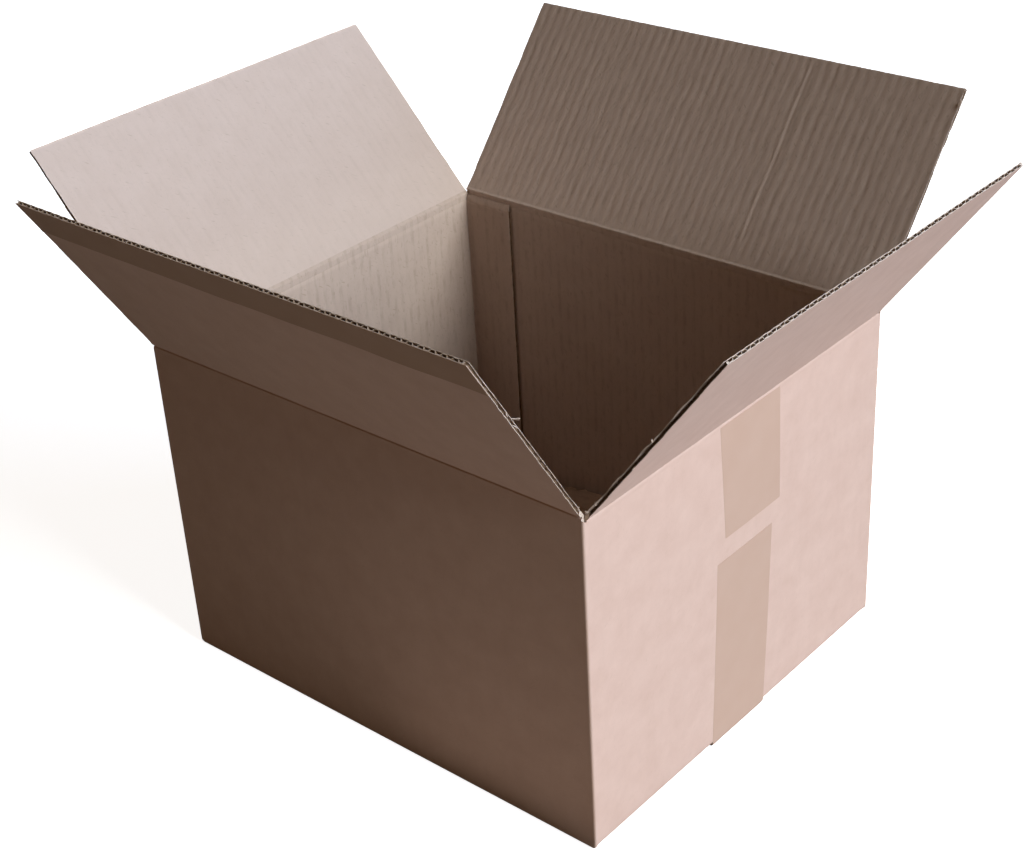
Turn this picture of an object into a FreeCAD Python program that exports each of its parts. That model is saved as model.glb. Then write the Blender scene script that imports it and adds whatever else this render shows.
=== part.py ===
"""A small corrugated shipping box, standing open with its four top flaps leaning out.

The box stands on its taped bottom. The origin is at the centre of the underside and +Z is up. The long
walls face -Y (front) and +Y (back), and the end walls face +X (right) and -X (left). The flaps on the long
walls close last, over those on the end walls. All sizes are in millimetres, and all angles in degrees.
"""
import FreeCAD, Part
import math
import os

# Box, outside sizes
box_length = 300.0
box_width = 260.0
board = 2.0
end_crease_height = 198.0

# Folds and slots
fold_radius = 2.0
stack_gap = 0.3
crease_gap = 0.3
seam_gap = 3.0
corner_slot = 0.5
long_flap_setback = 1.0
end_flap_clearance = 0.5

# Angle of each top flap from upright, in degrees
front_angle = 32.2
back_angle = 40.5
left_angle = 42.5
right_angle = 36.7

# Corrugated section of the top flaps
flute_pitch = 6.4
liner = 0.3
medium = 0.25
side_gap = 0.6
crushed_strip = 1.7

# Glue tab that joins the left wall to the back wall
glue_tab_width = 35.0
glue_tab_end_gap = 1.0

# Packing tape: the bottom strip, and what is left of the cut top strip
tape_width = 50.0
tape_thickness = 0.15
tape_floor_gap = 0.2
bottom_tape_shift = -1.0
tape_break = 12.8
top_tape_length = 67.0
top_tape_crease_gap = 1.5
top_tape_low_shift = 7.5
top_tape_high_shift = 4.8

# Worked out from the sizes above
half_length = box_length / 2
half_width = box_width / 2
inner_half_length = half_length - board
inner_half_width = half_width - board
floor_top = 2 * board
long_crease_height = end_crease_height + board + stack_gap
flap_reach = half_width - seam_gap / 2
long_flap_half = half_length - long_flap_setback
end_flap_half = inner_half_width - end_flap_clearance
tape_bed = tape_thickness + tape_floor_gap
top_tape_high = end_crease_height - top_tape_crease_gap
top_tape_low = top_tape_high - top_tape_length
bottom_tape_rise = top_tape_low - tape_break
CENTRE = FreeCAD.Vector(0, 0, 0)
ACROSS = FreeCAD.Vector(1, 0, 0)
UP = FreeCAD.Vector(0, 0, 1)


def between(x_range, y_range, z_range):
    """Box that fills three ranges, whichever way round each is given."""
    low = FreeCAD.Vector(min(x_range), min(y_range), min(z_range))
    high = FreeCAD.Vector(max(x_range), max(y_range), max(z_range))
    size = high - low
    return Part.makeBox(size.x, size.y, size.z, low)


def extruded(points, path):
    """Flat outline pushed along a path."""
    return Part.Face(Part.makePolygon(points + [points[0]])).extrude(path)


def panel(wall_out, crease_height, underside, half_span, turn):
    """One wall and the bottom flap folded in from it, drawn at the front and turned to its side."""
    wall_in = wall_out - board
    free_edge = wall_out - flap_reach
    top_side = underside + board
    wall_top = crease_height - crease_gap
    mitre_foot = wall_top - board
    diagonal = fold_radius * math.sqrt(0.5)
    fold_z = underside + fold_radius
    fold_out = wall_out - fold_radius

    def at(out, z):
        return FreeCAD.Vector(-half_span, -out, z)

    fold = Part.Arc(
        at(wall_out, fold_z),
        at(fold_out + diagonal, fold_z - diagonal),
        at(fold_out, underside),
    )
    run = [
        at(fold_out, underside),
        at(free_edge, underside),
        at(free_edge, top_side),
        at(wall_in, top_side),
        at(wall_in, mitre_foot),
        at(wall_out, wall_top),
        at(wall_out, fold_z),
    ]
    edges = [fold.toShape()] + Part.makePolygon(run).Edges
    solid = Part.Face(Part.Wire(edges)).extrude(ACROSS * 2 * half_span)
    solid.rotate(CENTRE, UP, turn)
    return solid


def rounded_plan():
    """Block of the box's plan, with the rounding of its four upright folds."""
    plan = between((-half_length, half_length), (-half_width, half_width), (0, long_crease_height))
    uprights = [edge for edge in plan.Edges if abs(edge.tangentAt(edge.FirstParameter).z) > 0.9]
    return plan.makeFillet(fold_radius, uprights)


def make_body():
    """The sheet of board: four walls, the glue tab and the folded bottom flaps."""
    front = panel(half_width, long_crease_height, 0, half_length, 0)
    back = panel(half_width, long_crease_height, 0, half_length, 180)
    right = panel(half_length, end_crease_height, board, inner_half_width, 90)
    left = panel(half_length, end_crease_height, board, inner_half_width, 270)
    glue_tab = between(
        (-inner_half_length, -inner_half_length + glue_tab_width),
        (inner_half_width, inner_half_width - board),
        (floor_top + glue_tab_end_gap, end_crease_height - board - glue_tab_end_gap),
    )
    body = front.fuse([back, right, left, glue_tab]).common(rounded_plan())

    tape_sides = (bottom_tape_shift - tape_width / 2, bottom_tape_shift + tape_width / 2)
    cuts = [between((-half_length, half_length), tape_sides, (-board, tape_bed))]
    for end in (-1, 1):
        # Corner slots beside the outer bottom flaps
        slot = (end * (half_length - fold_radius - corner_slot), end * (half_length + board))
        cuts.append(between(slot, (-box_width, box_width), (-board, board)))
        for side in (-1, 1):
            # Slits beside the inner bottom flaps
            run = (end * (half_length - flap_reach), end * inner_half_length)
            cuts.append(between(run, (side * end_flap_half, side * inner_half_width), (board, floor_top)))
    return body.cut(Part.makeCompound(cuts)).removeSplitter()


def flute_section(half_span):
    """Section of the corrugated board along the crease: its outline and its flute cells."""
    core_low = liner
    core_high = board - liner
    half_pitch = flute_pitch / 2
    slope = (core_high - core_low) / half_pitch
    web_half = medium / 2 * math.sqrt(1 + 1 / slope ** 2)
    cell_half = half_pitch - web_half
    cell_depth = cell_half * slope

    cells = []
    count = math.floor((half_span - web_half - side_gap) / half_pitch) - 1
    for index in range(-count, count + 1):
        middle = index * half_pitch
        base = core_low if index % 2 else core_high
        tip = base + cell_depth if index % 2 else base - cell_depth
        cells.append([(middle - cell_half, base), (middle + cell_half, base), (middle, tip)])

    # The outermost flutes are cut through, so the board's two faces stand free along its sides
    last_web = (count + 1) * half_pitch + web_half
    right_side = [(half_span, core_low), (last_web, core_low), (last_web, core_high), (half_span, core_high)]
    left_side = [(-x, y) for x, y in reversed(right_side)]
    outside = [(-half_span, 0), (half_span, 0)]
    inside = [(half_span, board), (-half_span, board)]
    return outside + right_side + inside + left_side, cells


def make_flap(half_span):
    """Top flap, upright: crease along X at Z = 0, outside face at Y = 0."""
    root_top = crease_gap + board + crushed_strip
    outline, cells = flute_section(half_span)

    def ring(points):
        corners = [FreeCAD.Vector(x, y, root_top) for x, y in points]
        return Part.makePolygon(corners + [corners[0]])

    section = Part.makeFace([ring(outline)] + [ring(cell) for cell in cells], "Part::FaceMakerBullseye")
    fluted = section.extrude(UP * (flap_reach - root_top))
    root = extruded([
        FreeCAD.Vector(-half_span, 0, crease_gap),
        FreeCAD.Vector(-half_span, board, crease_gap + board),
        FreeCAD.Vector(-half_span, board, root_top),
        FreeCAD.Vector(-half_span, 0, root_top),
    ], ACROSS * 2 * half_span)
    return fluted.fuse(root)


def make_flap_tape():
    """Half of the cut closing tape, along the free edge on a long flap's outside."""
    strip = (tape_width - seam_gap) / 2
    return between(
        (-long_flap_half, long_flap_half),
        (-tape_thickness, 0),
        (flap_reach - strip, flap_reach),
    )


def stand_up(shape, wall_out, crease_height, angle, turn):
    """Set an upright flap, or what is on it, on its crease at its angle, on its side of the box."""
    placed = shape.copy()
    placed.rotate(CENTRE, ACROSS, angle)
    placed.translate(FreeCAD.Vector(0, -wall_out, crease_height))
    placed.rotate(CENTRE, UP, turn)
    return placed


def make_bottom_tape():
    """Tape along the bottom seam and up both end walls."""
    sides = (bottom_tape_shift - tape_width / 2, bottom_tape_shift + tape_width / 2)
    out = half_length + tape_thickness
    strip = between((-out, out), sides, (tape_floor_gap, tape_bed))
    up = (tape_floor_gap, bottom_tape_rise)
    rises = [between((end * half_length, end * out), sides, up) for end in (-1, 1)]
    return strip.fuse(rises).removeSplitter()


def make_top_tape(turn):
    """End of the cut closing tape, left on an end wall below its crease."""
    half = tape_width / 2
    strip = extruded([
        FreeCAD.Vector(half_length, top_tape_low_shift - half, top_tape_low),
        FreeCAD.Vector(half_length, top_tape_low_shift + half, top_tape_low),
        FreeCAD.Vector(half_length, top_tape_high_shift + half, top_tape_high),
        FreeCAD.Vector(half_length, top_tape_high_shift - half, top_tape_high),
    ], ACROSS * tape_thickness)
    strip.rotate(CENTRE, UP, turn)
    return strip


long_flap = make_flap(long_flap_half)
end_flap = make_flap(end_flap_half)
flap_tape = make_flap_tape()

nodes = {
    "box_body": make_body(),
    "front_flap": stand_up(long_flap, half_width, long_crease_height, front_angle, 0),
    "right_flap": stand_up(end_flap, half_length, end_crease_height, right_angle, 90),
    "back_flap": stand_up(long_flap, half_width, long_crease_height, back_angle, 180),
    "left_flap": stand_up(end_flap, half_length, end_crease_height, left_angle, 270),
    "front_flap_tape": stand_up(flap_tape, half_width, long_crease_height, front_angle, 0),
    "back_flap_tape": stand_up(flap_tape, half_width, long_crease_height, back_angle, 180),
    "bottom_tape": make_bottom_tape(),
    "top_tape_right": make_top_tape(0),
    "top_tape_left": make_top_tape(180),
}

os.makedirs("parts", exist_ok=True)
for name, shape in nodes.items():
    shape.exportStep(os.path.join("parts", name + ".step"))
    print(name, len(shape.Solids), "solid,", round(shape.Volume / 1000, 2), "cm3, valid:", shape.isValid())
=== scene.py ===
import math
import bpy
import numpy as np
from mathutils import Matrix, Vector


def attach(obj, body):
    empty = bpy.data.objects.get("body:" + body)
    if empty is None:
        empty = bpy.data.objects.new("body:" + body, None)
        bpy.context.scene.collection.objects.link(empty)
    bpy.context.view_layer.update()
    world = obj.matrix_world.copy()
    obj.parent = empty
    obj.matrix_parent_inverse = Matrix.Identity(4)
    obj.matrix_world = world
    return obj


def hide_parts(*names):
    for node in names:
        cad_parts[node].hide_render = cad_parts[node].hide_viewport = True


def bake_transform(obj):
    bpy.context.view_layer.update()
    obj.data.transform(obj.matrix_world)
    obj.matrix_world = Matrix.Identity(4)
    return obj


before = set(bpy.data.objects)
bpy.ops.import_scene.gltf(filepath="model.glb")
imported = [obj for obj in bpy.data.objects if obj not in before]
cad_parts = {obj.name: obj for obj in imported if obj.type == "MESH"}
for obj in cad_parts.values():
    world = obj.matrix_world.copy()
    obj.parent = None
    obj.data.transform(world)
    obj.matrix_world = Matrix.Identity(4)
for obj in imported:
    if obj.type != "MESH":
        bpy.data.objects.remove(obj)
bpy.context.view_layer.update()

mm = 0.001

# the board the whole box is cut from, mm
board = {
    "thickness": 2.0,
    "liner": 0.26,
    "medium": 0.28,
    "flutePitch": 6.4,
}

# the box as the solids have it, mm
body = {
    "halfLength": 150.0,
    "halfWidth": 130.0,
    "longCrease": 200.3,      # height of the front and back fold lines
    "endCrease": 198.0,       # the end flaps fold first, so they sit lower
    "foldRadius": 2.05,
    "foldSharp": 0.22,        # the liner pulls tight over the vertical folds
    "longBow": 0.9,           # how far the walls belly out at their middle
    "endBow": 0.6,
}

# which way each wall faces, in the order the walls are walked round
sideDirections = {
    "front": np.array((0.0, -1.0, 0.0)),
    "right": np.array((1.0, 0.0, 0.0)),
    "back": np.array((0.0, 1.0, 0.0)),
    "left": np.array((-1.0, 0.0, 0.0)),
}
up = np.array((0.0, 0.0, 1.0))


# helpers that build meshes from grids of points

def waves(u, v, sizeU, sizeV, seed, count=7):
    # a soft wandering surface, about -1 to 1, the same every run
    random = np.random.default_rng(seed)
    total = 0.0
    for _ in range(count):
        turn = random.uniform(0, math.pi)
        stretch = random.uniform(0.7, 1.6)
        phase = random.uniform(0, 2 * math.pi)
        run = math.cos(turn) * u / (sizeU * stretch) + math.sin(turn) * v / (sizeV * stretch)
        total = total + np.sin(2 * math.pi * run + phase)
    return total / math.sqrt(count)


def raggedLine(v, depth, step, seed):
    # how far a torn or badly cut edge steps back, mm, at each v
    random = np.random.default_rng(seed)
    knots = [float(v[0]) - step]
    while knots[-1] < v[-1]:
        knots.append(knots[-1] + random.uniform(0.3, 1.7) * step)
    offsets = depth * random.uniform(0, 1, len(knots) + 1) ** 1.6
    fine = 0.12 * depth * random.uniform(0, 1, len(v))
    place = np.interp(v, knots, np.arange(len(knots)))
    whole = np.floor(place).astype(int)
    part = np.clip((place - whole - 0.3) / 0.4, 0, 1)
    return offsets[whole] * (1 - part) + offsets[whole + 1] * part + fine


def newShape():
    return {"points": [], "places": [], "faces": [], "finish": [], "count": 0}


def gridFaces(index):
    corners = (index[:-1, :-1], index[:-1, 1:], index[1:, 1:], index[1:, :-1])
    return np.stack(corners, axis=-1).reshape(-1, 4)


def addSheet(shape, front, back, places, finish, ring=False):
    # a closed sheet between two grids; columns run along, rows run up, front faces out
    rows, columns = front.shape[:2]
    index = np.arange(rows * columns).reshape(rows, columns) + shape["count"]
    under = index + rows * columns
    if ring:
        index = np.concatenate([index, index[:, :1]], axis=1)
        under = np.concatenate([under, under[:, :1]], axis=1)
    faces = [gridFaces(index), gridFaces(under)[:, ::-1]]
    faces.append(gridFaces(np.stack([under[0], index[0]])))
    faces.append(gridFaces(np.stack([index[-1], under[-1]])))
    kinds = [finish[0], finish[1], finish[2], finish[2]]
    if not ring:
        faces.append(gridFaces(np.stack([index[:, 0], under[:, 0]], axis=1))[:, ::-1])
        faces.append(gridFaces(np.stack([under[:, -1], index[:, -1]], axis=1))[:, ::-1])
        kinds += [finish[3], finish[3]]
    shape["points"] += [front.reshape(-1, 3), back.reshape(-1, 3)]
    shape["places"] += [places.reshape(-1, 3), places.reshape(-1, 3)]
    shape["faces"] += faces
    shape["finish"] += [np.full(len(f), k) for f, k in zip(faces, kinds)]
    shape["count"] += 2 * rows * columns


def makePiece(name, shape, materials, sharpAngle=40):
    points = np.concatenate(shape["points"]) * mm
    faces = np.concatenate(shape["faces"]).astype(np.int32)
    mesh = bpy.data.meshes.new(name)
    mesh.from_pydata(points, [], faces)
    mesh.polygons.foreach_set("material_index", np.concatenate(shape["finish"]).astype(np.int32))
    place = mesh.attributes.new("boardPlace", "FLOAT_VECTOR", "POINT")
    scale = np.array((mm, mm, 1.0))
    place.data.foreach_set("vector", (np.concatenate(shape["places"]) * scale).astype(np.float32).ravel())
    for material in materials:
        mesh.materials.append(material)
    mesh.shade_smooth()
    mesh.set_sharp_from_angle(angle=math.radians(sharpAngle))
    mesh.update()
    piece = bpy.data.objects.new(name, mesh)
    bpy.context.scene.collection.objects.link(piece)
    return piece


def makePanel(hinge, reach, inward, warp=None):
    # u runs along the fold line, v away from it, w from the outside face inwards
    reach, inward = np.array(reach, float), np.array(inward, float)
    return {
        "hinge": np.array(hinge, float),
        "along": np.cross(reach, -inward),
        "reach": reach,
        "inward": inward,
        "warp": warp or (lambda u, v: 0.0 * u),
    }


def onPanel(panel, u, v, w):
    u, v, w = np.broadcast_arrays(np.asarray(u, float), v, w)
    w = w + panel["warp"](u, v)
    return (panel["hinge"] + u[..., None] * panel["along"]
            + v[..., None] * panel["reach"] + w[..., None] * panel["inward"])


def creaseHeight(side):
    return body["longCrease"] if side in ("front", "back") else body["endCrease"]


def halfSpan(side):
    return body["halfLength"] if side in ("front", "back") else body["halfWidth"]


def wallBow(side, s, z):
    # walls belly out a little between their folds
    long = side in ("front", "back")
    most = body["longBow"] if long else body["endBow"]
    across = np.cos(math.pi / 2 * np.clip(s / halfSpan(side), -1, 1)) ** 2
    rise = np.sin(math.pi * np.clip(z / creaseHeight(side), 0, 1))
    dents = 0.09 * waves(s, z, 80, 100, 510 + len(side) * 3, 5)
    return (most * across + dents * np.sqrt(across)) * rise


# materials, whose patterns lie on the board's own millimetres

def linear(code):
    parts = [int(code[i:i + 2], 16) / 255 for i in (1, 3, 5)]
    return tuple(p / 12.92 if p <= 0.04045 else ((p + 0.055) / 1.055) ** 2.4 for p in parts) + (1.0,)


def addNode(tree, kind, inputs=None, **settings):
    made = tree.nodes.new(kind)
    for name, value in settings.items():
        setattr(made, name, value)
    for socket, value in (inputs or {}).items():
        if isinstance(value, bpy.types.NodeSocket):
            tree.links.new(value, made.inputs[socket])
        else:
            made.inputs[socket].default_value = value
    return made


def newMaterial(name):
    material = bpy.data.materials.new(name)
    material.use_nodes = True
    tree = material.node_tree
    tree.nodes.clear()
    return material, tree


linerValues = {
    "outside": {
        "name": "Kraft test liner, outside face",
        "colour": "#d2b1a0",
        "darker": "#c09d8c",
        "lighter": "#e0c2b2",
        "fluteLine": "#c0a08e",
        "lineStrength": 0.06,
        "scuffStrength": 0.25,
        "roughness": 0.84,
    },
    "inside": {
        "name": "Kraft test liner, inside face",
        "colour": "#c3aea0",
        "darker": "#b6a093",
        "lighter": "#cfbbad",
        "fluteLine": "#a39080",
        "lineStrength": 0.42,
        "scuffStrength": 0.5,
        "roughness": 0.88,
    },
    # a paler copy of the inside liner with fainter flute lines, used only on the left flap: painted light on
    # the flap that faces the lamps
    "paintedLitInside": {
        "name": "Kraft test liner, inside face, paler as painted light",
        "colour": "#c5b0a4",
        "darker": "#bba79b",
        "lighter": "#cdbab0",
        "fluteLine": "#a79587",
        "lineStrength": 0.12,
        "scuffStrength": 0.4,
        "roughness": 0.88,
    },
}


# sizes of the liners' patterns, across and along the flutes, mm
linerGrain = {
    "cloud": 16,
    "fibre": (0.7, 2.2),
    "dash": (1.5, 4.5),
    "scuff": (6.0, 1.3),
    "run": (5.0, 11),
    # the paler colour of worn edges, also used for painted light and painted highlight
    "wornAndPaintedLight": "#e6d2c4",
}


def grainScale(name):
    return tuple(1000 / size for size in linerGrain[name]) + (1.0,)


def makeLiner(values):
    # rolled kraft paper glued over flutes: dull, faintly cloudy, with fine fibre flecks; the flutes show as
    # broken darker lines, mostly on the inside
    material, tree = newMaterial(values["name"])
    place = addNode(tree, "ShaderNodeAttribute", attribute_name="boardPlace").outputs["Vector"]
    parts = addNode(tree, "ShaderNodeSeparateXYZ", {0: place}).outputs
    flat = addNode(tree, "ShaderNodeCombineXYZ", {0: parts[0], 1: parts[1]}).outputs[0]
    cloud = addNode(tree, "ShaderNodeTexNoise", {"Vector": flat, "Scale": 1000 / linerGrain["cloud"],
                                                 "Detail": 3.0, "Roughness": 0.6}).outputs[0]
    stretched = addNode(tree, "ShaderNodeVectorMath", {0: flat, 1: grainScale("fibre")},
                        operation="MULTIPLY").outputs[0]
    fibre = addNode(tree, "ShaderNodeTexNoise", {"Vector": stretched, "Scale": 1.0, "Detail": 2.0,
                                                 "Roughness": 0.6}).outputs[0]
    base = addNode(tree, "ShaderNodeMix", {0: cloud, 6: linear(values["darker"]),
                                           7: linear(values["lighter"])}, data_type="RGBA").outputs[2]
    base = addNode(tree, "ShaderNodeMix", {0: 0.45, 6: base, 7: linear(values["colour"])},
                   data_type="RGBA").outputs[2]
    fleck = addNode(tree, "ShaderNodeMapRange", {0: fibre, 1: 0.62, 2: 0.78, 3: 0.0, 4: 0.5}).outputs[0]
    base = addNode(tree, "ShaderNodeMix", {0: fleck, 6: base, 7: linear(values["fluteLine"])},
                   data_type="RGBA").outputs[2]
    # small dark dashes along the flutes
    dashes = addNode(tree, "ShaderNodeVectorMath", {0: flat, 1: grainScale("dash")},
                     operation="MULTIPLY").outputs[0]
    dash = addNode(tree, "ShaderNodeTexNoise", {"Vector": dashes, "Scale": 1.0, "Detail": 1.0,
                                                "Roughness": 0.5}).outputs[0]
    dash = addNode(tree, "ShaderNodeMapRange", {0: dash, 1: 0.62, 2: 0.74, 3: 0.0,
                                                4: values["lineStrength"]}).outputs[0]
    base = addNode(tree, "ShaderNodeMix", {0: dash, 6: base, 7: linear(values["fluteLine"])},
                   data_type="RGBA").outputs[2]
    # short slanted scuffs, a few mm long
    slanted = addNode(tree, "ShaderNodeVectorRotate", {"Vector": flat, "Angle": math.radians(-38)},
                      rotation_type="Z_AXIS").outputs[0]
    slanted = addNode(tree, "ShaderNodeVectorMath", {0: slanted, 1: grainScale("scuff")},
                      operation="MULTIPLY").outputs[0]
    scuff = addNode(tree, "ShaderNodeTexNoise", {"Vector": slanted, "Scale": 1.0, "Detail": 1.0,
                                                 "Roughness": 0.5}).outputs[0]
    scuff = addNode(tree, "ShaderNodeMapRange", {0: scuff, 1: 0.68, 2: 0.76, 3: 0.0,
                                                 4: values["scuffStrength"]}).outputs[0]
    base = addNode(tree, "ShaderNodeMix", {0: scuff, 6: base, 7: linear(values["fluteLine"])},
                   data_type="RGBA").outputs[2]
    # one darker line per flute, broken into short runs, roughly in step with the washboard hollows
    turn = addNode(tree, "ShaderNodeMath", {0: parts[0], 1: 2 * math.pi * 1000 / board["flutePitch"]},
                   operation="MULTIPLY").outputs[0]
    wave = addNode(tree, "ShaderNodeMath", {0: turn}, operation="SINE").outputs[0]
    ridge = addNode(tree, "ShaderNodeMapRange", {0: wave, 1: -0.2, 2: 0.8, 3: 0.0, 4: 1.0}).outputs[0]
    runs = addNode(tree, "ShaderNodeVectorMath", {0: flat, 1: grainScale("run")},
                   operation="MULTIPLY").outputs[0]
    broken = addNode(tree, "ShaderNodeTexNoise", {"Vector": runs, "Scale": 1.0, "Detail": 2.0,
                                                  "Roughness": 0.55}).outputs[0]
    shown = addNode(tree, "ShaderNodeMapRange", {0: broken, 1: 0.42, 2: 0.68, 3: 0.0,
                                                 4: values["lineStrength"]}).outputs[0]
    line = addNode(tree, "ShaderNodeMath", {0: ridge, 1: shown}, operation="MULTIPLY").outputs[0]
    base = addNode(tree, "ShaderNodeMix", {0: line, 6: base, 7: linear(values["fluteLine"])},
                   data_type="RGBA").outputs[2]
    # folds and edges are paler: worn edges, painted light beside the left flap's fold, and worn liner with
    # painted highlight along some folds
    base = addNode(tree, "ShaderNodeMix", {0: parts[2], 6: base, 7: linear(linerGrain["wornAndPaintedLight"])},
                   data_type="RGBA").outputs[2]
    rough = addNode(tree, "ShaderNodeMapRange", {0: fibre, 1: 0.3, 2: 0.7, 3: values["roughness"] - 0.05,
                                                 4: values["roughness"] + 0.05}).outputs[0]
    bump = addNode(tree, "ShaderNodeBump", {"Strength": 0.35, "Distance": 0.00004,
                                            "Height": fibre}).outputs[0]
    shader = addNode(tree, "ShaderNodeBsdfPrincipled", {"Base Color": base, "Roughness": rough, "IOR": 1.45,
                                                        "Specular IOR Level": 0.03,
                                                        "Normal": bump}).outputs[0]
    addNode(tree, "ShaderNodeOutputMaterial", {0: shader})
    return material


def makePaper(name, light, dark, grain, roughness):
    # raw paper seen at a cut: soft, fibrous and uneven
    material, tree = newMaterial(name)
    place = addNode(tree, "ShaderNodeAttribute", attribute_name="boardPlace").outputs["Vector"]
    noise = addNode(tree, "ShaderNodeTexNoise", {"Vector": place, "Scale": 1000 / grain, "Detail": 3.0,
                                                 "Roughness": 0.65}).outputs[0]
    spread = addNode(tree, "ShaderNodeMapRange", {0: noise, 1: 0.35, 2: 0.65}).outputs[0]
    base = addNode(tree, "ShaderNodeMix", {0: spread, 6: linear(dark), 7: linear(light)},
                   data_type="RGBA").outputs[2]
    bump = addNode(tree, "ShaderNodeBump", {"Strength": 0.5, "Distance": 0.0001,
                                            "Height": noise}).outputs[0]
    shader = addNode(tree, "ShaderNodeBsdfPrincipled", {"Base Color": base, "Roughness": roughness,
                                                        "IOR": 1.45, "Specular IOR Level": 0.05,
                                                        "Normal": bump}).outputs[0]
    addNode(tree, "ShaderNodeOutputMaterial", {0: shader})
    return material


tapeValues = {
    "wall": {
        "name": "Polypropylene packing tape, tan",
        "colour": "#c4a491", "darker": "#be9d89", "roughness": 0.75,
    },
    # a darker copy of the same tape for the tape on the flaps: painted shade
    "flap": {
        "name": "Polypropylene packing tape, darker as painted shade",
        "colour": "#b29480", "darker": "#a98a76", "roughness": 0.8,
    },
}


def makeTape(values):
    # tan polypropylene packing tape: even and smooth, dulled by handling, with faint ripples
    material, tree = newMaterial(values["name"])
    place = addNode(tree, "ShaderNodeAttribute", attribute_name="boardPlace").outputs["Vector"]
    cloud = addNode(tree, "ShaderNodeTexNoise", {"Vector": place, "Scale": 1000 / 22,
                                                 "Detail": 2.0}).outputs[0]
    base = addNode(tree, "ShaderNodeMix", {0: cloud, 6: linear(values["darker"]),
                                           7: linear(values["colour"])}, data_type="RGBA").outputs[2]
    fine = addNode(tree, "ShaderNodeTexNoise", {"Vector": place, "Scale": 1000 / 3.5,
                                                "Detail": 2.0}).outputs[0]
    bump = addNode(tree, "ShaderNodeBump", {"Strength": 0.25, "Distance": 0.00006,
                                            "Height": fine}).outputs[0]
    shader = addNode(tree, "ShaderNodeBsdfPrincipled", {"Base Color": base,
                                                        "Roughness": values["roughness"], "IOR": 1.49,
                                                        "Specular IOR Level": 0.03,
                                                        "Normal": bump}).outputs[0]
    addNode(tree, "ShaderNodeOutputMaterial", {0: shader})
    return material


outerLiner = makeLiner(linerValues["outside"])
innerLiner = makeLiner(linerValues["inside"])
fluteMedium = makePaper("Fluting medium paper", "#b59b86", "#987d67", 1.6, 0.92)
# cut edges and torn scraps: the paper's own pale fibre, made paler still as painted light
paleFibreAndPaintedLight = makePaper("Torn and cut paper edge", "#e8d6c8", "#c9b3a2", 0.9, 0.95)
# a dark copy of the medium paper: painted shade for the gaps between the liners at side cuts
paintedShadeMedium = makePaper("Fluting medium darkened as painted shade", "#7d6552", "#5c4838", 1.2, 0.95)
paintedLitInnerLiner = makeLiner(linerValues["paintedLitInside"])
wallTape = makeTape(tapeValues["wall"])
flapTape = makeTape(tapeValues["flap"])
boardFinish = [outerLiner, innerLiner, fluteMedium, paleFibreAndPaintedLight, paintedShadeMedium]
outerFace, innerFace, mediumFace, cutFace, paintedShadeFace = range(5)
# the same finishes with the paler inside liner: painted light for the left flap
paintedLitFinish = [paintedLitInnerLiner if finish is innerLiner else finish for finish in boardFinish]
print("materials made")


# corrugated board: two liners and the medium between them

washboard = {
    "insideDepth": 0.15,      # how far the inside liner sinks between flute tips, mm
    "outsideDepth": 0.012,
    "webSteepness": 4.0,      # how sharply the medium turns from one liner to the other
    # how finely the liners and medium are divided
    "innerColumns": 10,       # per flute
    "outerColumns": 4,
    "mediumColumns": 28,
    "wallColumns": 5,
    "coarsest": 0.3,          # least share of those columns on a board drawn coarsely
    "rowStep": 4.0,           # mm
    "sideStrip": 2.6,         # width of the finer strip along each side cut, mm
    "sideRowStep": 0.9,
}


def fluteRelief(u, v, depth, seed):
    # the liner sinks between the flute tips, in short broken runs that wander a little
    pitch = board["flutePitch"]
    flutes = np.floor(u / pitch).astype(int)
    each = np.random.default_rng(seed).uniform(0.7, 1.0, 400)[flutes % 400]
    shift = 37.0 * (flutes % 19)
    along = 0.66 + 0.12 * waves(u, v, 60, 90, seed + 1) + 0.26 * waves(0 * u, v + shift, 1, 15, seed + 2)
    along = along + 0.24 * waves(u, v, 7, 6, seed + 4, 9)
    phase = 0.35 * waves(u, v, 40, 45, seed + 3) + 0.4 * waves(u, v, 13, 16, seed + 5)
    wave = 0.5 * (1 + np.sin(2 * math.pi * u / pitch + phase))
    return depth * each * np.clip(along, 0.0, 1.3) * wave ** 1.3


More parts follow.
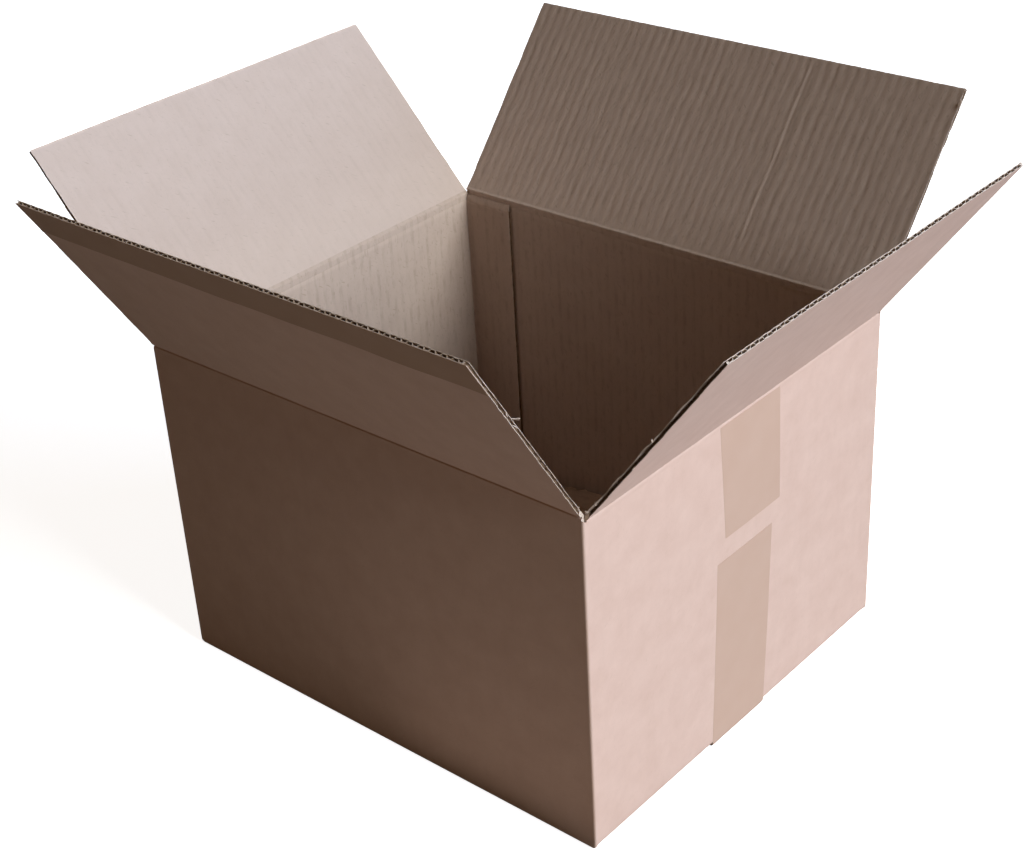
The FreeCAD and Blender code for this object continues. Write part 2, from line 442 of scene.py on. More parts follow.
def addFlutedBoard(shape, panel, spec):
    # outside liner, inside liner and the wavy medium between, with frayed long sides
    low, high = spec["low"], spec["high"]
    start, end = spec["start"], spec["end"]
    pitch, liner, thickness = board["flutePitch"], board["liner"], board["thickness"]
    strip = washboard["sideStrip"]
    seed = spec["seed"]
    outsideMarks = spec.get("outsideMarks", lambda u, v: 0.0 * u)
    insideMarks = spec.get("insideMarks", lambda u, v: 0.0 * u)
    rows = max(3, int(round((end - start) / spec.get("rowStep", washboard["rowStep"]))) + 1)
    share = spec.get("detail", 1.0)        # how finely the board is divided
    coarse = max(share, washboard["coarsest"])
    fineRows = max(12, int(round((end - start) / washboard["sideRowStep"] * share)))

    def outside(u, v):
        return fluteRelief(u, v, washboard["outsideDepth"], seed) + outsideMarks(u, v)

    def inside(u, v):
        # the washboard dies out beside the fold line
        depth = washboard["insideDepth"] * spec.get("relief", 1.0)
        relief = fluteRelief(u, v, depth, seed + 20) * np.clip((v - 3) / 4, 0, 1)
        return thickness - relief - insideMarks(u, v)

    def curl(u, v):
        # the inside liner's torn rim turns away from the board
        near = np.clip(1 - (u - low) / 1.3, 0, 1) ** 2
        return spec.get("curl", 0.0) * near * np.clip(0.8 + 0.3 * waves(0 * u, v, 1, 16, seed + 8), 0.2, 1.1)

    def wear(u, v):
        edge = np.minimum(np.minimum(u - low, high - u), end - v)
        soft = np.clip(1 - edge / 1.5, 0, 1) * (0.35 + 0.25 * waves(u, v, 9, 9, seed + 3))
        return np.clip(soft, 0, 0.6)

    def rowsAlong(count):
        return np.concatenate([np.linspace(start, end - 1.6, count), (end - 0.7, end)])

    def grids(left, right, count, v):
        t = np.linspace(0, 1, count)
        u = left[:, None] * (1 - t) + right[:, None] * t
        cut = end - 0.12 * np.abs(waves(u, 0 * u, 5, 5, seed + 5))
        vv = start + (v[:, None] - start) * (cut - start) / (end - start)
        return u, vv

    def addOuter(left, right, count, v, finish):
        u, vv = grids(left, right, count, v)
        places = np.stack([u, vv, wear(u, vv)], axis=-1)
        addSheet(shape, onPanel(panel, u, vv, outside(u, vv)),
                 onPanel(panel, u, vv, liner + outsideMarks(u, vv)),
                 places, (outerFace, mediumFace, cutFace, finish))

    def addInner(left, right, count, v, finish):
        u, vv = grids(left, right, count, v)
        # paler towards the fold line: painted light
        rootRub = spec.get("rootRub", 0.0) * np.clip(1 - vv / 45, 0, 1)
        places = np.stack([u, vv, wear(u, vv) + rootRub], axis=-1)
        addSheet(shape, onPanel(panel, u, vv, thickness - liner + curl(u, vv)),
                 onPanel(panel, u, vv, inside(u, vv) + curl(u, vv)),
                 places, (innerFace, innerFace, spec.get("endFace", cutFace), finish))

    def addMedium(left, right, count, v):
        u, vv = grids(left, right, count, v)
        turn = 2 * math.pi * u / pitch
        swing = (thickness - 2 * liner - board["medium"]) / 2
        # flat tips glued to the liners, with steep webs between
        steep = washboard["webSteepness"]
        wave = np.tanh(steep * np.sin(turn))
        slope = 2 * math.pi / pitch * swing * steep * np.cos(turn) * (1 - wave ** 2)
        lean = board["medium"] / 2 / np.sqrt(1 + slope ** 2)
        middle = thickness / 2 + swing * wave + 0.5 * outsideMarks(u, vv)
        front = onPanel(panel, u + slope * lean, vv, middle - lean)
        back = onPanel(panel, u - slope * lean, vv, middle + lean)
        places = np.stack([u, vv, 0 * u], axis=-1)
        addSheet(shape, front, back, places, (mediumFace, mediumFace, cutFace, cutFace))

    def addCore(left, right, v):
        # the crumpled medium at a side cut, standing back unevenly between the liners
        u, vv = grids(left, right, 4, v)
        crumple = 0.22 * waves(u, vv, 2.2, 2.6, seed + 7)
        nearOuter = liner + 0.12 + np.clip(crumple, -0.1, 0.3) + 0.8 * outsideMarks(u, vv)
        nearInner = thickness - liner - 0.12 + np.clip(crumple, -0.3, 0.1)
        places = np.stack([u, vv, 0 * u], axis=-1)
        # the core's cut edge takes the dark copy of the medium: painted shade in the gap between the liners
        addSheet(shape, onPanel(panel, u, vv, nearOuter), onPanel(panel, u, vv, nearInner),
                 places, (mediumFace, mediumFace, cutFace, paintedShadeFace))

    v = rowsAlong(rows)
    one = np.ones(len(v))
    flutes = (high - low - 2 * strip) / pitch
    count = int(flutes * washboard["innerColumns"] * share) + 1
    addInner((low + strip) * one, (high - strip) * one, count, v, mediumFace)
    v = rowsAlong(max(3, rows // 3))
    one = np.ones(len(v))
    count = int(flutes * washboard["outerColumns"] * coarse) + 1
    addOuter((low + strip) * one, (high - strip) * one, count, v, mediumFace)
    v = np.linspace(start, end, max(3, rows // 8))
    one = np.ones(len(v))
    count = int(flutes * washboard["mediumColumns"] * coarse) + 1
    addMedium((low + strip) * one, (high - strip) * one, count, v)

    v = rowsAlong(fineRows)
    for k, (edge, turn) in enumerate(((low, 1), (high, -1))):
        outerDepth, innerDepth, coreLeast, coreMost = spec["fray"][k]
        outerEdge = edge + turn * raggedLine(v, outerDepth, 6, seed + 40 + k)
        innerEdge = edge + turn * raggedLine(v, innerDepth, 9, seed + 50 + k)
        coreEdge = edge + turn * (coreLeast + raggedLine(v, coreMost - coreLeast, 2.2, seed + 60 + k))
        inner = (edge + turn * strip) * np.ones(len(v))
        sideFace = spec.get("sideFace", cutFace)
        if turn > 0:
            addOuter(outerEdge, inner, 5, v, sideFace)
            addInner(innerEdge, inner, 5, v, sideFace)
            addCore(coreEdge, inner, v)
        else:
            addOuter(inner, outerEdge, 5, v, sideFace)
            addInner(inner, innerEdge, 5, v, sideFace)
            addCore(inner, coreEdge, v)


def addScrap(shape, panel, spot, size, turns, seed):
    # a small torn fibre of liner that stands off the board
    random = np.random.default_rng(seed)
    turn, tilt = math.radians(turns[0]), math.radians(turns[1])
    t = np.linspace(0, 1, 7)[:, None]
    side = np.linspace(-0.5, 0.5, 5)[None, :]
    width = size[1] * side * (1 - size[2] * t) * (1 + 0.3 * random.uniform(-1, 1, (7, 1)))
    run = size[0] * t + 0.12 * size[1] * random.uniform(-1, 1, (7, 5))
    u = spot[0] + run * math.cos(turn) * math.cos(tilt) - width * math.sin(turn)
    v = spot[1] + run * math.sin(turn) * math.cos(tilt) + width * math.cos(turn)
    w = spot[2] + run * math.sin(tilt) + 0.12 * random.uniform(-1, 1, (7, 5))
    middle = onPanel(panel, u, v, w)
    normal = np.cross(middle[0, -1] - middle[0, 0], middle[-1, 2] - middle[0, 2])
    normal = 0.14 * normal / np.linalg.norm(normal)
    places = np.stack([u, v, 0 * u], axis=-1)
    addSheet(shape, middle + normal, middle - normal, places, (cutFace,) * 4)


# the top flaps and their folds

flaps = {
    # half: half the width; lean: degrees from upright
    # fray: how far outside liner and inside liner step back at each side cut, then the
    # least and most for the medium between them; low side first, mm
    # bead and groove: how far the fold bulges inside and sinks outside, mm; rubAndHighlight: how much paler
    # the fold line is, worn liner and painted highlight
    # sag: how far the free edge bends inwards, mm; curl: how far the torn inside rim turns up, mm
    # relief and rootRub: share of the washboard, and paleness beside the fold, painted light against the
    # shade there
    "front": {
        "half": 149.0, "lean": 32.2, "seed": 100,
        "fray": ((0.5, 0.4, 0.4, 1.8), (0.6, 0.5, 0.5, 1.9)),
        "bead": 0.2, "groove": 0.68, "rubAndHighlight": 0.0, "sag": 0.15,
    },
    "right": {
        "half": 127.5, "lean": 36.7, "seed": 200,
        "fray": ((1.3, 0.5, 1.5, 2.4), (0.6, 0.4, 0.4, 1.6)),
        "bead": 0.15, "groove": 0.12, "rubAndHighlight": 0.1, "curl": 0.75, "sag": 0.5,
    },
    "back": {
        "half": 149.0, "lean": 40.5, "seed": 300,
        "fray": ((0.6, 0.4, 0.3, 1.6), (0.4, 0.4, 0.4, 1.6)),
        "bead": 0.45, "groove": 0.3, "rubAndHighlight": 0.15, "rowStep": 2.4, "sag": 0.15,
    },
    "left": {
        "half": 127.5, "lean": 42.5, "seed": 400,
        "fray": ((0.4, 0.4, 0.4, 1.6), (0.5, 0.4, 0.4, 1.6)),
        "bead": 0.0, "groove": 0.3, "rubAndHighlight": 0.0, "relief": 0.55, "rootRub": 0.2, "sag": 0.5,
    },
}
# torn fibres: place on the flap (u, v, w), then length, width and taper, and which way they point and
# tilt inwards
tornBits = {
    "front": [
        ((146.8, 83.5, 1.2), (5.4, 1.6, -0.8), (-34, 34)), ((148.0, 87.0, 1.0), (3.0, 2.0, 0.3), (95, 20)),
        ((148.0, 80.0, 0.9), (3.2, 1.1, 0.4), (-80, 10)), ((148.2, 5.0, 1.4), (1.8, 1.2, 0.7), (60, 40)),
    ],
    "right": [
        ((-126.8, 4.0, 1.4), (2.6, 1.4, 0.7), (160, 50)), ((-126.4, 11.0, 1.6), (2.2, 1.3, 0.7), (120, 45)),
        ((-126.2, 47.0, 0.4), (2.0, 2.0, 0.5), (200, -10)), ((-126.8, 66.0, 1.8), (2.0, 1.4, 0.5), (120, 30)),
    ],
    "back": [
        ((-148.4, 121.0, 1.6), (5.0, 2.4, 0.7), (255, 15)),
        ((-148.4, 126.4, 1.6), (1.4, 1.6, 0.7), (200, 20)),
    ],
    "left": [],
}
flapReach = 128.0


def flapAxes(side):
    out = sideDirections[side]
    lean = math.radians(flaps[side]["lean"])
    reach = out * math.sin(lean) + up * math.cos(lean)
    inward = -out * math.cos(lean) + up * math.sin(lean)
    hinge = out * (body["halfWidth"] if side in ("front", "back") else body["halfLength"])
    return hinge + up * creaseHeight(side), reach, inward


def scoreMark(u, v):
    # a score line dents the back flap from fold to free edge, wandering a little
    middle = -53.4 + 0.3 * waves(0 * v, v, 1, 45, 7)
    run = np.clip((v - 13) / 4, 0, 1) * np.clip((126 - v) / 4, 0, 1)
    dent = np.exp(-((u - middle) / 1.0) ** 2)
    rim = np.exp(-((u - middle - 2.0) / 0.8) ** 2)
    return run * (0.17 * dent - 0.05 * rim)


def makeFlap(side):
    spec = flaps[side]
    hinge, reach, inward = flapAxes(side)
    seed = spec["seed"]

    def warp(u, v):
        # the end flaps sag a little more, so the closed flaps lie clear of each other
        t = np.clip(v / flapReach, 0, 1)
        return t * (spec["sag"] + 0.5 * spec["sag"] * waves(u, v, 150, 120, seed + 9, 4))

    panel = makePanel(hinge, reach, inward, warp)
    shape = newShape()
    detail = {
        "low": -spec["half"], "high": spec["half"], "start": 1.2, "end": flapReach,
        "fray": spec["fray"], "seed": seed,
    }
    for key in ("rowStep", "relief", "rootRub", "curl"):
        if key in spec:
            detail[key] = spec[key]
    if side == "back":
        detail["insideMarks"] = scoreMark
    addFlutedBoard(shape, panel, detail)
    for number, (spot, size, turns) in enumerate(tornBits[side]):
        addScrap(shape, panel, spot, size, turns, seed + 80 + number)
    # the left flap takes the paler inside liner as painted light
    piece = makePiece(side + "FlapBoard", shape, paintedLitFinish if side == "left" else boardFinish)
    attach(piece, side + "_flap")
    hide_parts(side + "_flap")
    return panel


foldStep = 2.2                # columns along a fold, mm apart


def makeFold(side):
    # the crushed board between wall and flap, at the flap's open angle
    spec = flaps[side]
    hinge, reach, inward = flapAxes(side)
    out = sideDirections[side]
    along = np.cross(reach, -inward)
    half = spec["half"]
    columns = int(half * 2 / foldStep)
    s = np.linspace(-half, half, columns)

    def onWall(w, down):
        return hinge - out * w - up * down

    def onFlap(w, v):
        return hinge + inward * w + reach * v

    bead, groove = spec["bead"], spec["groove"]
    outerLine = [
        onWall(0.9, 3.6), onWall(0.02, 3.2), onWall(-0.04, 2.4), onWall(-0.07, 1.5), onWall(-0.05, 0.8),
        onWall(groove * 0.75, 0.3), onFlap(groove, 0.0), onFlap(groove * 0.75, 0.3), onFlap(-0.05, 0.8),
        onFlap(-0.07, 1.5), onFlap(-0.04, 2.4), onFlap(0.02, 3.2), onFlap(0.9, 3.6),
    ]
    innerLine = [
        onWall(1.2, 4.8), onWall(1.8, 4.1), onWall(1.98, 3.5), onWall(2.0, 2.6), onWall(2.0, 1.2),
        onWall(2.0 - 0.8 * bead, 0.5), onWall(2.0 - 0.7 * bead, 0.0), onWall(1.99 + bead, -0.45),
        onFlap(1.99 + bead, -0.45), onFlap(2.0 + 0.5 * bead, 0.1), onFlap(2.0, 0.8), onFlap(1.98, 3.2),
        onFlap(1.3, 4.4),
    ]
    outerLine, innerLine = np.array(outerLine), np.array(innerLine)
    rowCount = len(outerLine)
    rowIndex = np.arange(rowCount)[:, None]
    jitter = 0.07 * waves(s[None, :], rowIndex * 3.0, 7, 9, spec["seed"] + 70)
    soft = np.exp(-((rowIndex - (rowCount - 1) / 2 - 0.5) / 2.2) ** 2)
    normal = (inward - out) / np.linalg.norm(inward - out)
    front = outerLine[:, None, :] + s[None, :, None] * along + (jitter * soft * 0.6)[..., None] * normal
    back = innerLine[:, None, :] + s[None, :, None] * along + (jitter * soft)[..., None] * normal
    patchy = 1 + 0.6 * waves(s[None, :], rowIndex, 12, 6, spec["seed"] + 71)
    # the fold line is paler: worn liner and painted highlight
    wornAndPaintedLight = spec["rubAndHighlight"] * np.exp(-((rowIndex - 6) / 1.8) ** 2) * patchy
    places = np.stack(np.broadcast_arrays(s[None, :], rowIndex * 1.0, np.clip(wornAndPaintedLight, 0, 0.5)), axis=-1)
    shape = newShape()
    addSheet(shape, front, back, places, (outerFace, innerFace, mediumFace, cutFace))
    piece = makePiece(side + "Fold", shape, boardFinish, 32)
    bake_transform(piece)


flapPanels = {side: makeFlap(side) for side in flaps}
print("flaps made")
for side in flaps:
    makeFold(side)
print("folds made")


# the walls are one loop of board with rounded corners; the bottom flaps and glue tab go with them

walls = {
    # height above the ground, and how far the rounded foot stands in there, mm
    "foot": ((0.0, 2.0), (0.16, 1.2), (0.6, 0.58), (1.2, 0.18), (2.0, 0.0)),
    "rows": 24,
    "rowsFrom": 5,
    "rowsTo": 196,
    "lastRow": 200.0,
    "top": 199.5,             # outside face, on the long walls
    "endDrop": 2.3,           # the end walls are this much lower
    "liftDies": 60,           # the end walls start one board higher, which fades out up to here
    "innerFoot": 3.0,
    "innerDrop": 2.5,         # the inside face ends this far below the outside one
    "cornerSteps": 6,
}

bottomFlaps = {
    # the outer ones come from the long walls, the inner ones lie on them
    "outer": {
        "low": -147.5, "high": 147.5, "start": 0.0, "end": 126.5, "rowStep": 20, "detail": 0.15,
        "fray": ((0.5, 0.5, 0.4, 1.6), (0.5, 0.5, 0.4, 1.6)),
    },
    "inner": {
        "low": -126.4, "high": 126.4, "start": 0.0, "end": 126.5, "rowStep": 8, "detail": 0.25,
        "fray": ((0.8, 1.5, 1.6, 2.4), (1.2, 3.4, 1.6, 2.4)),
    },
    "tapeBed": {"depth": 0.35, "from": -26, "to": 24},
    # how far the left and right inner ones have sprung up at their free edges, and where that starts
    "rise": {-1: 8.5, 1: 0.6},
    "riseFrom": 42,
    "riseRun": 72,
}

glueTab = {
    "middle": (-130.5, 128.0, 5.0),
    "board": {
        "low": -17.5, "high": 17.5, "start": 0.0, "end": 189.0, "detail": 0.6,
        "fray": ((0.15, 0.15, 0.5, 1.3), (0.15, 0.15, 0.5, 1.3)), "seed": 640,
        # its side cuts take the darker medium colour: painted shade along the tab's edges
        "endFace": innerFace, "sideFace": mediumFace,
    },
    # its top is pressed thin under the fold
    "pressedHalf": 17.3,
    "pressedFrom": 188.4,
    "pressedTo": 193.1,
}


def wallColumns():
    # walks round the box, front to right to back to left
    radius = body["foldRadius"]
    columns = {key: [] for key in ("x", "y", "nx", "ny", "u", "end", "side", "s", "bend")}
    u = 0.0
    for number, (side, out) in enumerate(sideDirections.items()):
        along = np.cross(up, out)
        half = halfSpan(side)
        depth = body["halfWidth"] if side in ("front", "back") else body["halfLength"]
        flat = half - radius
        count = int(2 * flat / board["flutePitch"] * washboard["wallColumns"])
        isEnd = float(side in ("right", "left"))
        for s in np.linspace(-flat, flat, count):
            spot = along * s + out * (depth - radius)
            values = (spot[0], spot[1], out[0], out[1], u + s + flat, isEnd, number, s, 0.0)
            for key, value in zip(columns, values):
                columns[key].append(value)
        u += 2 * flat
        corner = along * flat + out * (depth - radius)
        steps = walls["cornerSteps"]
        for k in range(1, steps):
            turn = math.pi / 2 * k / steps
            normal = out * math.cos(turn) + along * math.sin(turn)
            share = k / steps
            values = (corner[0], corner[1], normal[0], normal[1], u + radius * turn,
                      isEnd * (1 - share) + (1 - isEnd) * share, number, half, math.sin(2 * turn) ** 2)
            for key, value in zip(columns, values):
                columns[key].append(value)
        u += radius * math.pi / 2
    return {key: np.array(value) for key, value in columns.items()}


def addWalls(shape):
    at = wallColumns()
    radius, thickness = body["foldRadius"], board["thickness"]
    foot = np.array(walls["foot"])
    rows = np.linspace(walls["rowsFrom"], walls["rowsTo"], walls["rows"])
    rowsUp = np.concatenate([foot[:, 0], rows, [walls["lastRow"]]])
    inset = np.concatenate([foot[:, 1], np.zeros(walls["rows"] + 1)])
    lift = thickness * at["end"]
    height = walls["top"] - walls["endDrop"] * at["end"]
    t = (rowsUp / walls["lastRow"])[:, None]
    z = rowsUp[:, None] + lift * np.clip(1 - rowsUp[:, None] / walls["liftDies"], 0, 1)
    z = np.minimum(z, height)
    zInner = walls["innerFoot"] + (height - walls["innerDrop"] - walls["innerFoot"]) * t
    bow = np.zeros_like(z)
    bowInner = np.zeros_like(z)
    for number, side in enumerate(sideDirections):
        mine = at["side"] == number
        bow[:, mine] = wallBow(side, at["s"][mine], z[:, mine])
        bowInner[:, mine] = wallBow(side, at["s"][mine], zInner[:, mine])
    u = np.broadcast_to(at["u"], z.shape)
    outward = (radius - inset[:, None]) * (1 + body["foldSharp"] * at["bend"]) + bow
    outward = outward - fluteRelief(u, z, washboard["outsideDepth"], 500)
    # the washboard dies out just under the fold
    relief = fluteRelief(u, zInner, washboard["insideDepth"], 520) * np.clip((192 - zInner) / 8, 0, 1)
    inward = radius - thickness + bowInner + relief
    normal = np.stack([at["nx"], at["ny"]], axis=-1)
    base = np.stack([at["x"], at["y"]], axis=-1)
    frontXY = base + outward[..., None] * normal
    backXY = base + inward[..., None] * normal
    front = np.concatenate([frontXY, z[..., None]], axis=-1)
    back = np.concatenate([backXY, zInner[..., None]], axis=-1)
    # the rounded upright folds that follow the front and back walls are a little paler: worn liner and
    # painted highlight
    corner = np.clip(1 - (halfSpan("front") - np.abs(at["s"])) / 2, 0, 1) * (at["s"] > 0)
    wornAndPaintedLight = np.zeros_like(z) + 0.03 * corner * (1 + waves(u, z, 8, 10, 530))
    places = np.stack([u, z, np.clip(wornAndPaintedLight, 0, 0.4)], axis=-1)
    addSheet(shape, front, back, places, (outerFace, innerFace, mediumFace, mediumFace), ring=True)


def addBottomFlaps(shape, turn):
    # turn -1 is the front outer flap and the left inner one, 1 the back and the right one
    innerWidth = body["halfWidth"] - board["thickness"]
    innerLength = body["halfLength"] - board["thickness"]

    def bed(u, v):
        # the tape lies in a shallow bed
        y = turn * (innerWidth - v)
        tapeBed = bottomFlaps["tapeBed"]
        return tapeBed["depth"] * ((y > tapeBed["from"]) & (y < tapeBed["to"]))

    def spring(u, v):
        # the left one has sprung up towards the middle of the box
        t = np.clip((v - bottomFlaps["riseFrom"]) / bottomFlaps["riseRun"], 0, 1)
        return bottomFlaps["rise"][turn] * t * t * (3 - 2 * t)

    panel = makePanel((0, turn * innerWidth, 0), (0, -turn, 0), (0, 0, 1))
    addFlutedBoard(shape, panel, {**bottomFlaps["outer"], "seed": 600 + turn, "outsideMarks": bed})
    panel = makePanel((turn * innerLength, 0, board["thickness"]), (-turn, 0, 0), (0, 0, 1), spring)
    addFlutedBoard(shape, panel, {**bottomFlaps["inner"], "seed": 620 + turn})


def addGlueTab(shape):
    # inside the back wall, at the left corner
    middle = glueTab["middle"]

    def tabWarp(u, v):
        return -wallBow("back", -middle[0] + u, v + middle[2])

    panel = makePanel(middle, (0, 0, 1), (0, -1, 0), tabWarp)
    addFlutedBoard(shape, panel, glueTab["board"])
    half = glueTab["pressedHalf"]
    across = np.linspace(-half, half, 16)
    u, v = np.meshgrid(across, np.linspace(glueTab["pressedFrom"], glueTab["pressedTo"], 8))
    thin = np.cos(math.pi / 2 * np.clip((v - 188.6) / 4.5, 0, 1))
    w = 0.45 + 1.55 * thin + 0.05 * waves(u, v, 6, 5, 650)
    places = np.stack([u, v, 0 * u], axis=-1)
    addSheet(shape, onPanel(panel, u, v, w - 0.3), onPanel(panel, u, v, w), places, (innerFace,) * 4)


def makeWalls():
    shape = newShape()
    addWalls(shape)
    for turn in (-1, 1):
        addBottomFlaps(shape, turn)
    addGlueTab(shape)
    piece = makePiece("boxBoard", shape, boardFinish)
    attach(piece, "box")
    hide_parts("box_body")


makeWalls()
print("walls and bottom made")


# the packing tape

tapes = {
    "thickness": 0.15,
    # left and right edges at the top and bottom of each strip on the right wall, mm
    "topStrip": {
        "high": 196.5, "low": 129.5,
        "leftHigh": -21.8, "leftLow": -17.4, "rightHigh": 31.3, "rightLow": 32.5,
    },
    # the bottom strip: edges at the foot of the right wall and how far they drift up to its end,
    # then its edges on the left wall and under the box
    "lowStrip": {
        "high": 116.7,
        "foot": (-28, 20.5), "drift": (3.5, 4.9),
        "leftWall": (-24.0, 24.0), "under": (-26.0, 24.0),
        "underHeight": 0.28,
    },
    "flapStrip": 23.5,
}


def finishTape(name, shape, carrier, node, material):
    piece = makePiece(name, shape, [material], 60)
    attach(piece, carrier)
    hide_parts(node)


def tapeSection():
    # places across the tape and its thickness there: its edges lie down flat
    t = np.concatenate([(0.0, 0.008, 0.02), np.linspace(0.06, 0.94, 11), (0.98, 0.992, 1.0)])
    edge = np.minimum(t, 1 - t)
    return t[None, :], tapes["thickness"] * np.clip(0.15 + edge / 0.02, 0, 1)[None, :]


def makeTopTape(side, node):
    out = sideDirections[side]
    along = np.cross(up, out)
    strip = tapes["topStrip"]
    z = np.linspace(strip["low"], strip["high"], 15)[:, None]
    share = (z - strip["low"]) / (strip["high"] - strip["low"])
    left = strip["leftLow"] * (1 - share) + strip["leftHigh"] * share
    right = strip["rightLow"] * (1 - share) + strip["rightHigh"] * share
    t, thick = tapeSection()
    s = left * (1 - t) + right * t
    z = z + 0 * s
    seed = 700 + len(side)
    off = wallBow(side, s, z) + 0.02 * waves(s, z, 14, 20, seed)
    base = out * body["halfLength"] + s[..., None] * along + z[..., None] * up
    front = base + (off + thick)[..., None] * out
    back = base + (off - 0.05)[..., None] * out
    shape = newShape()
    addSheet(shape, front, back, np.stack([s, z, 0 * s], axis=-1), (0, 0, 0, 0))
    finishTape(side + "TopTape", shape, "box", node, wallTape)


def makeBottomTape():
    strip = tapes["lowStrip"]
    half = body["halfLength"]
    # the strip's middle line: up the right wall, under the box and up the left wall
    rise = np.linspace(strip["high"], 3.0, 20)
    bend = [(half + 0.02, 2.0), (half - 0.3, 1.0), (half - 1.0, 0.42), (half - 2.2, strip["underHeight"])]
    right = [(half, h) for h in rise] + bend
    under = [(x, strip["underHeight"]) for x in np.linspace(half - 8, 0, 12)]
    line = np.array([(float(x), float(h)) for x, h in right + under])
    line = np.concatenate([line, (line * (-1, 1))[-2::-1]])
    step = np.gradient(line, axis=0)
    step /= np.linalg.norm(step, axis=1)[:, None]
    # to the right of the way down the right wall
    outward = np.stack([-step[:, 1], step[:, 0]], axis=1)
    t, thick = tapeSection()
    fall = np.clip(line[:, 1] / strip["high"], 0, 1)
    right = line[:, 0] > 0
    onWalls = np.clip(np.abs(line[:, 0]) / half, 0, 1) ** 6
    edges = []
    for k in range(2):
        y = np.where(right, strip["foot"][k] + strip["drift"][k] * fall, strip["leftWall"][k])
        edges.append(y * onWalls + strip["under"][k] * (1 - onWalls))
    y = edges[0][:, None] * (1 - t) + edges[1][:, None] * t
    x = line[:, :1] + 0 * y
    z = line[:, 1:] + 0 * y
    bow = np.where(x > 0, wallBow("right", y, z), wallBow("left", -y, z))
    ripple = bow + 0.015 * waves(y, z + x, 14, 25, 740)
    base = np.stack([x, y, z], axis=-1)
    normal = np.stack([outward[:, 0], 0 * outward[:, 0], outward[:, 1]], axis=-1)[:, None, :]
    front = base + (thick - 0.02 + ripple)[..., None] * normal
    back = base + (ripple[..., None] - 0.06) * normal
    length = np.concatenate([[0], np.cumsum(np.linalg.norm(np.diff(line, axis=0), axis=1))])
    places = np.stack([y, length[:, None] + 0 * y, 0 * y], axis=-1)
    shape = newShape()
    addSheet(shape, front[::-1], back[::-1], places[::-1], (0, 0, 0, 0))
    finishTape("bottomTape", shape, "box", "bottom_tape", wallTape)


def makeFlapTape(side):
    # half of the tape that once closed the box, left along the free edge
    panel = flapPanels[side]
    half = flaps[side]["half"]
    u = np.linspace(-half + 0.2, half - 0.2, 100)[None, :]
    v = np.linspace(flapReach - tapes["flapStrip"], flapReach - 0.1, 8)[:, None]
    u, v = np.broadcast_arrays(u, v)
    v = v + np.where(v < 110, 0.35 * waves(u, 0 * u, 60, 60, 760), 0.0)
    ripple = 0.02 * waves(u, v, 16, 12, 770 + len(side))
    front = onPanel(panel, u, v, -tapes["thickness"] - ripple)
    back = onPanel(panel, u, v, 0.06 + 0 * u)
    shape = newShape()
    addSheet(shape, front, back, np.stack([u, v, 0 * u], axis=-1), (0, 0, 0, 0))
    finishTape(side + "FlapTape", shape, side + "_flap", side + "_flap_tape", flapTape)


makeTopTape("right", "top_tape_right")
makeTopTape("left", "top_tape_left")
makeBottomTape()
makeFlapTape("front")
makeFlapTape("back")
print("tape made")


# floor, light and camera

studio = {
    "floorHalf": 6.0,         # metres
    "floorHeight": -0.0001,
    "floorShow": "#ffffff",
    "floorGlow": 0.9,
    "floorBounce": "#89857f",
    "ambient": "#ffc060",
    "ambientStrength": 0.071,
    # light thrown up by the ground beside the near corner
    "groundLight": {"place": (0.22, -0.29, 0.004), "size": (0.40, 0.28), "power": 0.09, "colour": "#fff0e4"},
    # soft lamps: the way round from the right side, height above the floor, spread, degrees
    "windowLight": {"azimuth": 6, "elevation": 26, "spread": 28, "strength": 0.735, "colour": "#fffff0"},
    "skyLight": {"azimuth": 18, "elevation": 18, "spread": 55, "strength": 0.95, "colour": "#b6d4ff"},
}


def rayShown(tree):
    # camera, glossy and transmitted rays see the white studio
    path = addNode(tree, "ShaderNodeLightPath").outputs
    shown = path["Is Camera Ray"]
    for name in ("Is Glossy Ray", "Is Transmission Ray"):
        shown = addNode(tree, "ShaderNodeMath", {0: shown, 1: path[name]}, operation="MAXIMUM").outputs[0]
    return shown


def makeFloor():
    mesh = bpy.data.meshes.new("studioFloor")
    size, low = studio["floorHalf"], studio["floorHeight"]
    corners = [(-size, -size, low), (size, -size, low), (size, size, low), (-size, size, low)]
    mesh.from_pydata(corners, [], [(0, 1, 2, 3)])
    floor = bpy.data.objects.new("studioFloor", mesh)
    bpy.context.scene.collection.objects.link(floor)
    material, tree = newMaterial("Matt white studio floor")
    glow = addNode(tree, "ShaderNodeEmission", {0: linear(studio["floorShow"]),
                                                1: studio["floorGlow"]}).outputs[0]
    lit = addNode(tree, "ShaderNodeBsdfDiffuse", {0: linear("#ffffff")}).outputs[0]
    shown = addNode(tree, "ShaderNodeAddShader", {0: glow, 1: lit}).outputs[0]
    bounce = addNode(tree, "ShaderNodeBsdfDiffuse", {0: linear(studio["floorBounce"])}).outputs[0]
    mixed = addNode(tree, "ShaderNodeMixShader", {0: rayShown(tree), 1: bounce, 2: shown}).outputs[0]
    addNode(tree, "ShaderNodeOutputMaterial", {0: mixed})
    mesh.materials.append(material)


def makeWorld():
    world = bpy.data.worlds.new("studioWorld")
    world.use_nodes = True
    tree = world.node_tree
    tree.nodes.clear()
    ambient = addNode(tree, "ShaderNodeBackground", {0: linear(studio["ambient"]),
                                                     1: studio["ambientStrength"]}).outputs[0]
    white = addNode(tree, "ShaderNodeBackground", {0: (1, 1, 1, 1), 1: 1.0}).outputs[0]
    mixed = addNode(tree, "ShaderNodeMixShader", {0: rayShown(tree), 1: ambient, 2: white}).outputs[0]
    addNode(tree, "ShaderNodeOutputWorld", {0: mixed})
    bpy.context.scene.world = world


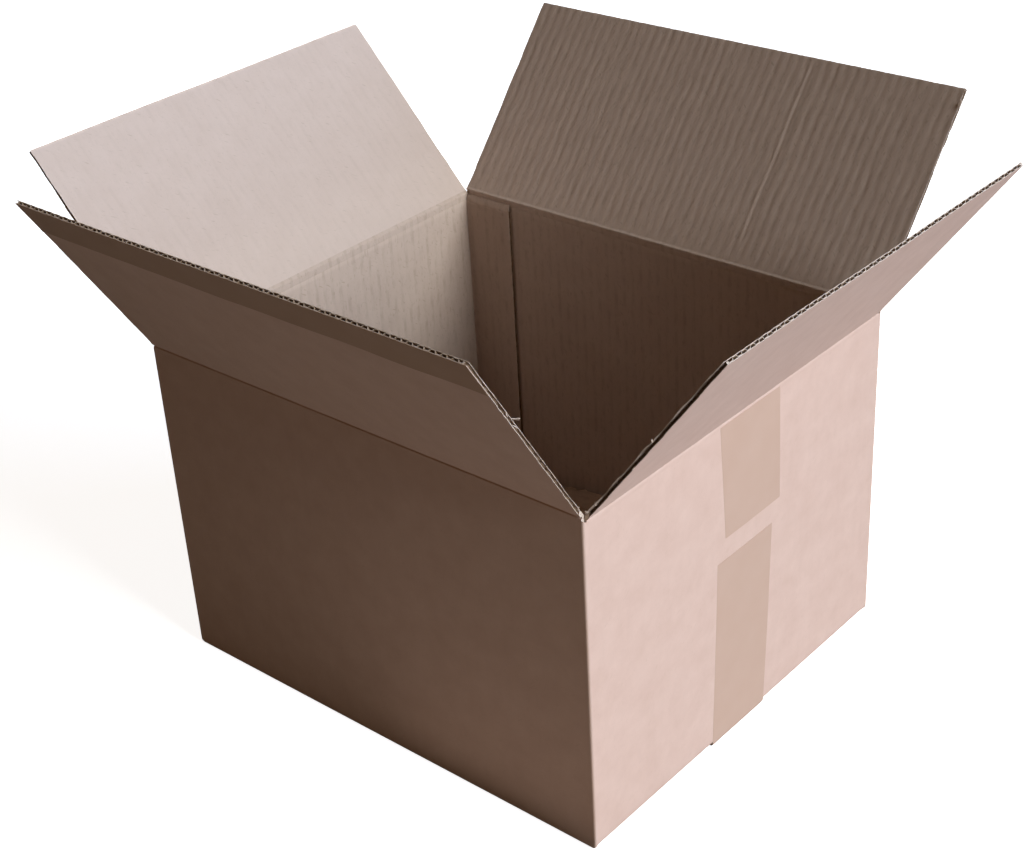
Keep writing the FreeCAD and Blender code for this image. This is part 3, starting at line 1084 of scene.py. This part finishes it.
def makeLight(name):
    values = studio[name]
    light = bpy.data.lights.new(name, "SUN")
    light.energy = math.pi * values["strength"]
    light.angle = math.radians(values["spread"])
    light.color = linear(values["colour"])[:3]
    lamp = bpy.data.objects.new(name, light)
    a, e = math.radians(values["azimuth"]), math.radians(values["elevation"])
    toLamp = Vector((math.cos(a) * math.cos(e), math.sin(a) * math.cos(e), math.sin(e)))
    lamp.rotation_euler = toLamp.to_track_quat("Z", "Y").to_euler()
    bpy.context.scene.collection.objects.link(lamp)


def makeGroundLight():
    values = studio["groundLight"]
    light = bpy.data.lights.new("groundLight", "AREA")
    light.shape = "RECTANGLE"
    light.size, light.size_y = values["size"]
    light.energy = values["power"]
    light.color = linear(values["colour"])[:3]
    lamp = bpy.data.objects.new("groundLight", light)
    lamp.location = values["place"]
    lamp.rotation_euler = (math.pi, 0, 0)
    lamp.visible_camera = False
    lamp.visible_glossy = False
    bpy.context.scene.collection.objects.link(lamp)


makeFloor()
makeWorld()
makeGroundLight()
makeLight("windowLight")
makeLight("skyLight")

camera = {
    "place": (0.60918, -0.68316, 0.66309),
    "azimuth": 42.067,
    "elevation": 30.056,
    "roll": -3.468,
    "lens": 66.22,
}


def makeCamera():
    a, e, r = (math.radians(camera[key]) for key in ("azimuth", "elevation", "roll"))
    back = Vector((math.sin(a) * math.cos(e), -math.cos(a) * math.cos(e), math.sin(e)))
    right = Vector((math.cos(a), math.sin(a), 0))
    top = back.cross(right)
    turnedRight = right * math.cos(r) + top * math.sin(r)
    turnedTop = top * math.cos(r) - right * math.sin(r)
    data = bpy.data.cameras.new("photoCamera")
    data.sensor_width = 36.0
    data.lens = camera["lens"]
    data.clip_start, data.clip_end = 0.05, 50
    eye = bpy.data.objects.new("photoCamera", data)
    turn = Matrix((turnedRight, turnedTop, back)).transposed()
    eye.matrix_world = Matrix.Translation(camera["place"]) @ turn.to_4x4()
    bpy.context.scene.collection.objects.link(eye)
    bpy.context.scene.camera = eye


makeCamera()
bpy.context.scene.view_settings.view_transform = "Standard"
print("light and camera set")
